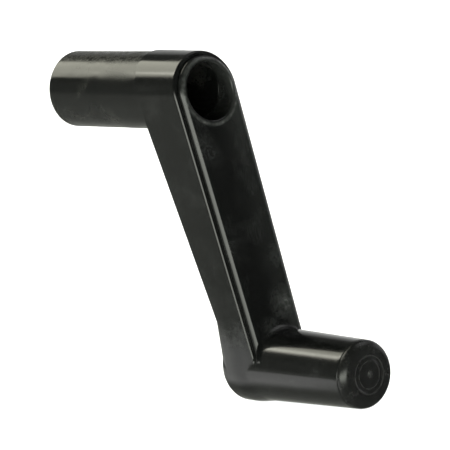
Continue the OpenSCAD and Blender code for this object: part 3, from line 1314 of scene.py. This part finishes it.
@dataclass
class ClampSet:
    """The steel bush that takes the winch shaft and the socket screw that grips it."""

    bush_radius: float = 9.98
    shaft_radius: float = 6.35
    bush_front: float = 42.02
    place: float = 54.0
    screw_radius: float = 3.0
    screw_top: float = -7.85
    screw_end: float = -12.3
    pitch: float = 1.0
    socket: float = 3.0
    socket_depth: float = 2.2

    def bush(self, finish: bpy.types.Material) -> bpy.types.Object:
        """Turns the bush, drills it for the clamp screw, and seats it.

        Args:
            finish: Metal of the bush.

        Returns:
            The finished piece.
        """
        far = HUB_LENGTH - 0.05
        near = self.bush_front
        corners = [
            (near, self.shaft_radius + 1.0, 0.0),
            (near, self.bush_radius, 0.3),
            (far, self.bush_radius, 0.25),
            (far, self.shaft_radius + 0.6, 0.12),
            (far - 0.6, self.shaft_radius, 0.2),
            (near, self.shaft_radius, 0.3),
            (near, self.shaft_radius + 0.9, 0.0),
        ]
        piece = BENCH.turned("shaft_bush", rounded(corners, 4), segments=144, ring=True)
        radius = self.screw_radius + 0.05
        drill = np.array([[-30.0, 0.0], [-30.0, radius], [-3.0, radius], [-3.0, 0.0]])
        tool = BENCH.turned("drill", drill, (0.0, self.place), 72, axis=Axis.SCREW)
        BENCH.combine(piece, tool, Cut.REMOVE)
        piece.data.materials.append(finish)
        BENCH.seat(piece, Body.HANDLE, "bush_steel", "drive_bush")
        return piece

    def screw(self, finish: bpy.types.Material) -> bpy.types.Object:
        """Makes the socket screw and seats it on its own body.

        Formula: the thread takes up to 0.3 off the radius as a raised cosine of turns along
        the axis less turns round it; the socket's radius is half its width over the cosine
        of the angle from the middle of the nearest flat.

        Args:
            finish: Metal of the screw.

        Returns:
            The finished piece.
        """
        theta = np.linspace(0.0, 2.0 * pi, 72, endpoint=False)
        flat = (theta + pi / 6.0) % (pi / 3.0) - pi / 6.0
        hexagon = (0.5 * self.socket / np.cos(flat))[None, :]
        end, top = self.screw_end, self.screw_top
        z = np.linspace(end + 0.4, top - 0.5, 60)[:, None]
        phase = 2.0 * pi * z / self.pitch - theta
        ramp = np.clip(np.minimum(z - end - 0.4, top - 0.5 - z) / 0.4, 0.0, 1.0)
        thread = self.screw_radius - 0.15 * ramp * (1.0 + np.cos(phase))
        full = np.ones_like(theta)[None, :]
        rings = [
            (end + self.socket_depth + 0.35, 0.0 * full),
            (end + self.socket_depth, hexagon),
            (end + 0.15, hexagon),
            (end, hexagon + 0.12),
            (end, (self.screw_radius - 0.42) * full),
            (end + 0.38, self.screw_radius * full),
        ]
        tail = [
            (top - 0.45, self.screw_radius * full),
            (top, (self.screw_radius - 0.5) * full),
            (top, 0.0 * full),
        ]
        heights = np.concatenate([[r[0] for r in rings], z[:, 0], [r[0] for r in tail]])[:, None]
        radii = np.concatenate([r[1] for r in rings] + [thread] + [r[1] for r in tail])
        grid = np.stack(
            np.broadcast_arrays(radii * np.cos(theta), self.place + radii * np.sin(theta), heights), axis=-1
        )
        piece = BENCH.shell("clamp_socket_screw", grid)
        piece.data.materials.append(finish)
        BENCH.seat(piece, Body.SCREW, "black_steel", "clamp_screw")
        return piece


@dataclass
class Hardware:
    """The CAD parts that keep their own shape: ring, key, washer, pad and cover screws."""

    finishes: Finishes

    def dress(self, nodes: dict[str, bpy.types.Object]) -> None:
        """Gives each carried-over part its finish.

        Args:
            nodes: CAD objects by name.
        """
        wanted = {
            "retaining_ring": self.finishes.spring,
            "hub_key": self.finishes.steel,
            "thrust_washer": self.finishes.zinc,
            "clamp_pad": self.finishes.brass,
            "cover_screw_upper": self.finishes.zinc,
            "cover_screw_lower": self.finishes.zinc,
        }
        for name, finish in wanted.items():
            for holder in nodes[name].material_slots:
                holder.material = finish
            log.info("%s: dressed with %s", name, finish.name)


# --------------------------------------------------------------------------- studio


@dataclass(frozen=True)
class SoftPanel:
    """A soft panel of light far away: direction, half sizes as slopes, softness and strength."""

    azimuth: float
    elevation: float
    width: float
    height: float
    strength: float
    soft: float = 0.08
    warmth: Colour = (1.0, 1.0, 1.0)

    def axes(self) -> tuple[Colour, Colour, Colour]:
        """Unit vectors to the panel's middle, along its width and along its height."""
        az, el = radians(self.azimuth), radians(self.elevation)
        middle = (sin(az) * cos(el), -cos(az) * cos(el), sin(el))
        side = (cos(az), sin(az), 0.0)
        up = tuple(np.cross(middle, side).tolist())
        if up[2] < 0.0:
            up = (-up[0], -up[1], -up[2])
        return middle, side, up

    def lay(self, bench: NodeBench, direction: Any, colour: Any) -> Any:
        """Adds the panel's light to the sky.

        Formula: the slopes of the direction across and up the panel are faded smoothly
        over the softness at each edge, and the two fades are multiplied.

        Args:
            bench: Bench of the world's tree.
            direction: Socket with the direction looked in.
            colour: Socket with the light so far.

        Returns:
            Socket with the panel added.
        """
        middle, side, up = self.axes()
        ahead = bench.vector("DOT_PRODUCT", direction, middle, out="Value")
        fade = bench.maths("GREATER_THAN", ahead, 0.02)
        for axis, half in ((side, self.width), (up, self.height)):
            across = bench.vector("DOT_PRODUCT", direction, axis, out="Value")
            slope = bench.maths("ABSOLUTE", bench.maths("DIVIDE", across, ahead))
            edge = bench.step(slope, half - self.soft, half + self.soft, 1.0, 0.0)
            fade = bench.maths("MULTIPLY", fade, edge)
        light = bench.vector("SCALE", tuple(c * self.strength for c in self.warmth), out="Vector")
        bench.tree.links.new(fade, light.node.inputs["Scale"])
        return bench.vector("ADD", colour, light)


@dataclass
class Studio:
    """Pale floor, soft light and the camera."""

    floor_height: float = -103.2
    look_at: Colour = (-0.018, 1.546, -44.498)
    azimuth: float = -39.92
    elevation: float = 11.55
    roll: float = -9.27
    distance: float = 910.45
    lens: float = 224.86
    sun: float = 5.0
    lit_floor: Optional[bpy.types.Collection] = None

    def floor(self) -> None:
        """A wide pale floor with a faint mottle."""
        mesh = bpy.data.meshes.new("floor")
        half, z = 6.0, self.floor_height * MM
        corners = [(-half, -half, z), (half, -half, z), (half, half, z), (-half, half, z)]
        mesh.from_pydata(corners, [], [(0, 1, 2, 3)])
        floor = bpy.data.objects.new("floor", mesh)
        bpy.context.scene.collection.objects.link(floor)
        self.lit_floor = bpy.data.collections.new("lit_floor")
        self.lit_floor.objects.link(floor)
        material, bench, shader = new_material("pale_floor")
        place = bench.add("ShaderNodeTexCoord").outputs["Object"]
        tone = bench.mix(bench.noise(place, 8.0, 3.0), (0.86, 0.86, 0.86), (0.9, 0.9, 0.9))
        material.node_tree.links.new(tone, shader.inputs["Base Color"])
        shader.inputs["Roughness"].default_value = 0.9
        shader.inputs["Specular IOR Level"].default_value = 0.1
        mesh.materials.append(material)
        floor.visible_glossy = False

    def bounce_card(self) -> None:
        """A pale card on the floor beside the grip, seen in reflections only.

        Formula: its light is 1.2, faded out smoothly between 30 and 88 mm from its middle
        and again between 26 and 14 mm of the grip's upright plane, a painted shadow of the grip on the floor.
        """
        reach, middle = 110.0, (-45.0, 22.0)
        theta = np.linspace(0.0, 2.0 * pi, 48, endpoint=False)
        x, y = middle[0] + reach * np.cos(theta), middle[1] + reach * np.sin(theta)
        ring = np.stack([x, y - HUB_LENGTH, np.full_like(x, self.floor_height + 0.1)], axis=1) * MM
        mesh = bpy.data.meshes.new("bounce_card")
        mesh.from_pydata(ring.tolist(), [], [list(range(len(ring)))])
        card = bpy.data.objects.new("bounce_card", mesh)
        bpy.context.scene.collection.objects.link(card)
        card.visible_camera = card.visible_diffuse = card.visible_shadow = False
        material = bpy.data.materials.new("card_glow")
        material.use_nodes = True
        bench = NodeBench(material.node_tree)
        place = bench.add("ShaderNodeTexCoord").outputs["Object"]
        centre = (middle[0] * MM, (middle[1] - HUB_LENGTH) * MM, self.floor_height * MM)
        away = bench.vector("DISTANCE", place, centre, out="Value")
        side = bench.maths("ABSOLUTE", bench.add("ShaderNodeSeparateXYZ", None, Vector=place).outputs[0])
        spread = bench.step(away, 0.030, 0.088, 1.2, 0.0)
        # the fade near the grip's upright plane is a painted shadow of the grip on the floor
        glow_with_painted_shadow = bench.maths("MULTIPLY", spread, bench.step(side, 0.014, 0.026))
        shine = bench.add("ShaderNodeEmission", None, Strength=glow_with_painted_shadow)
        clear = bench.add("ShaderNodeBsdfTransparent")
        both = bench.add("ShaderNodeAddShader", None, i0=shine.outputs[0], i1=clear.outputs[0])
        bench.add("ShaderNodeOutputMaterial", None, Surface=both.outputs[0])
        mesh.materials.append(material)

    def sky(self, panels: Sequence[SoftPanel]) -> None:
        """The studio's walls and soft panels, as light by direction.

        Args:
            panels: The soft panels.
        """
        world = bpy.data.worlds.new("studio")
        world.use_nodes = True
        bench = NodeBench(world.node_tree)
        direction = bench.add("ShaderNodeTexCoord").outputs["Generated"]
        parts = bench.add("ShaderNodeSeparateXYZ", None, Vector=direction)
        height = parts.outputs[2]
        wall = bench.step(height, -0.70, -0.45, 0.28, 0.46)
        wall = bench.maths("SUBTRACT", wall, bench.step(height, -0.08, 0.05, 0.0, 0.24))
        wall = bench.maths("SUBTRACT", wall, bench.step(height, 0.25, 0.45, 0.0, 0.12))
        wall = bench.mix(wall, (0.0, 0.0, 0.0), (0.97, 1.0, 0.90))
        colour = bench.mix(bench.step(parts.outputs[1], 0.35, 0.66), (0.05, 0.05, 0.05), wall)
        for panel in panels:
            colour = panel.lay(bench, direction, colour)
        background = bench.add("ShaderNodeBackground", None, Color=colour, Strength=1.0)
        bench.add("ShaderNodeOutputWorld", None, Surface=background.outputs[0])
        bpy.context.scene.world = world

    def overhead(self) -> None:
        """A broad overhead light that falls on the floor alone."""
        lamp = bpy.data.lights.new("overhead", "SUN")
        lamp.energy, lamp.angle = self.sun, radians(60.0)
        light = bpy.data.objects.new("overhead", lamp)
        light.visible_glossy = False
        light.light_linking.receiver_collection = self.lit_floor
        light.light_linking.blocker_collection = self.lit_floor
        bpy.context.scene.collection.objects.link(light)

    def camera(self) -> None:
        """The camera, turned about the point it looks at and rolled."""
        az, el, roll = radians(self.azimuth), radians(self.elevation), radians(self.roll)
        back = Vector((sin(az) * cos(el), -cos(az) * cos(el), sin(el)))
        right = Vector((cos(az), sin(az), 0.0))
        up = back.cross(right)
        x_axis = cos(roll) * right + sin(roll) * up
        y_axis = -sin(roll) * right + cos(roll) * up
        place = (Vector(self.look_at) - Vector((0.0, HUB_LENGTH, 0.0)) + back * self.distance) * MM
        lens = bpy.data.cameras.new("camera")
        lens.lens, lens.sensor_width, lens.clip_start, lens.clip_end = self.lens, 36.0, 0.05, 30.0
        camera = bpy.data.objects.new("camera", lens)
        turn = Matrix((x_axis, y_axis, back)).transposed().to_4x4()
        camera.matrix_world = Matrix.Translation(place) @ turn
        bpy.context.scene.collection.objects.link(camera)
        bpy.context.scene.camera = camera
        bpy.context.scene.view_settings.view_transform = "Standard"

    def build(self) -> None:
        """Sets up the whole studio."""
        self.floor()
        self.bounce_card()
        self.sky(
            [
                SoftPanel(-170.0, 44.0, 0.286, 0.36, 3.9, 0.04, (1.0, 0.99, 0.83)),
                SoftPanel(-155.5, 41.5, 0.045, 0.12, 6.0, 0.03, (1.0, 0.99, 0.88)),
                SoftPanel(138.0, 8.0, 0.22, 0.34, 0.35, 0.06),
                SoftPanel(-62.0, 4.0, 0.86, 0.19, 5.6, 0.16, (0.96, 1.0, 0.9)),
                SoftPanel(98.0, 6.0, 0.8, 0.25, 0.6, 0.2),
                SoftPanel(75.0, 50.0, 0.35, 0.3, 0.8, 0.15),
            ]
        )
        self.overhead()
        self.camera()


def main() -> None:
    """Builds the handle piece by piece and sets up the studio."""
    logging.basicConfig(level=logging.INFO, format="%(name)s: %(message)s")
    effects = Effects.build()
    finishes = Finishes.build(effects)
    outline = ArmOutline()
    Arm(outline).build(finishes.arm)
    Cover(outline).build(finishes.cover)
    HubTube().build(finishes.tube)
    GripCap().build(finishes.cap)
    clamp = ClampSet()
    clamp.bush(finishes.steel)
    clamp.screw(finishes.oxide)
    Hardware(finishes).dress(frame["nodes"])
    Studio().build()
    log.info("sizes written")


if __name__ == "__main__":
    main()
